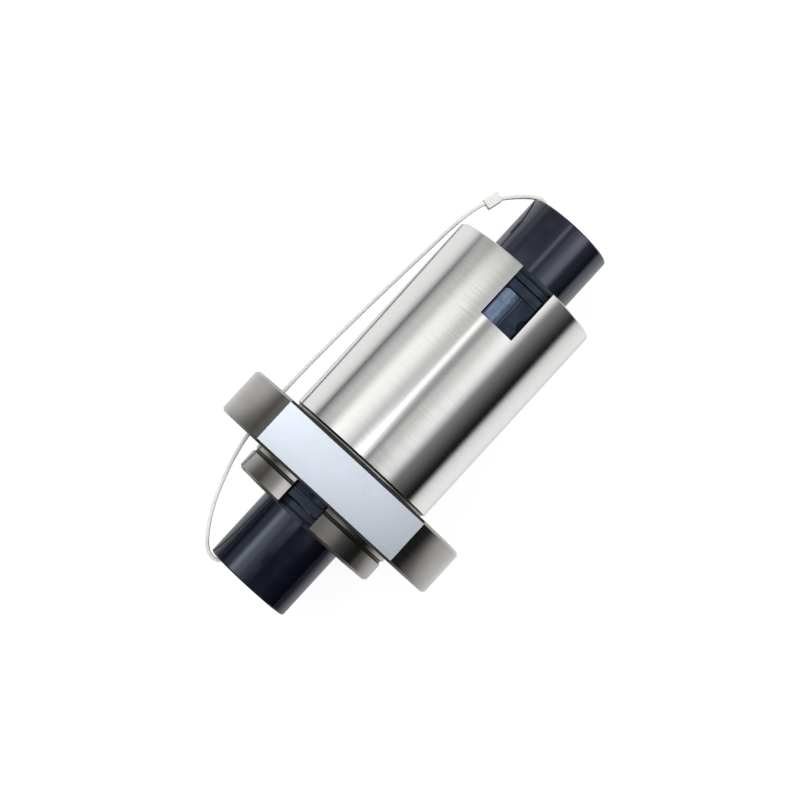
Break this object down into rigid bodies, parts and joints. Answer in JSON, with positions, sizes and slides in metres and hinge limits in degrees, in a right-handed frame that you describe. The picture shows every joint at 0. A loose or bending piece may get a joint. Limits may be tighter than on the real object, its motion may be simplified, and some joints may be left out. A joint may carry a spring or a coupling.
{
  "type": "flanged ball nut on assembly arbor",
  "caption": "Flanged ball nut with end deflectors and wipers, its balls kept in by a smooth tubular assembly arbor that a nylon tie holds in place.",
  "frame": {"origin": "on the screw axis, in the plane of the flange's mounting face", "axes": "+X along the screw axis, from the flange along the long barrel; +Z outward normal of the flange's upper flat, the side that shows both deflector slots; +Y towards the side where the tie passes the flange"},
  "size_m": [0.1442, 0.08, 0.062],
  "materials": {
    "nut_steel": "hardened steel, ground and polished to a soft mirror",
    "deflector_plastic": "moulded engineering plastic, dark blue-grey, satin",
    "wiper_plastic": "machined dark plastic, satin",
    "spring_steel": "drawn wire",
    "screw_steel": "black oxide",
    "plug_plastic": "moulded plastic",
    "ball_steel": "polished bearing steel",
    "arbor_plastic": "smooth extruded black plastic, glossy",
    "tie_nylon": "natural nylon, slightly translucent"
  },
  "bodies": {
    "nut": {"nut_body": "nut_steel", "rear_deflector_cover": "deflector_plastic", "rear_deflector_base": "deflector_plastic", "front_deflector_cover": "deflector_plastic", "front_deflector_base": "deflector_plastic", "rear_wiper": "wiper_plastic", "front_wiper": "wiper_plastic", "rear_wiper_spring": "spring_steel", "front_wiper_spring": "spring_steel", "rear_wiper_screw": "screw_steel", "front_wiper_screw": "screw_steel", "grease_plug": "plug_plastic", "balls_turn_1": "ball_steel", "balls_turn_2": "ball_steel", "balls_turn_3": "ball_steel", "balls_turn_4": "ball_steel", "rear_deflector_balls": "ball_steel", "front_deflector_balls": "ball_steel", "return_balls": "ball_steel"},
    "tie": {"retaining_tie": "tie_nylon"},
    "arbor": {"arbor": "arbor_plastic"}
  },
  "joints": [
    {"name": "arbor_slide", "type": "slide", "parent": "nut", "child": "tie", "axis": [1, 0, 0], "range_m": [-0.004, 0.004], "deforming": ["retaining_tie"]},
    {"name": "arbor_spin", "type": "hinge", "parent": "tie", "child": "arbor", "pos_m": [0, 0, 0], "axis": [1, 0, 0], "continuous": true}
  ]
}
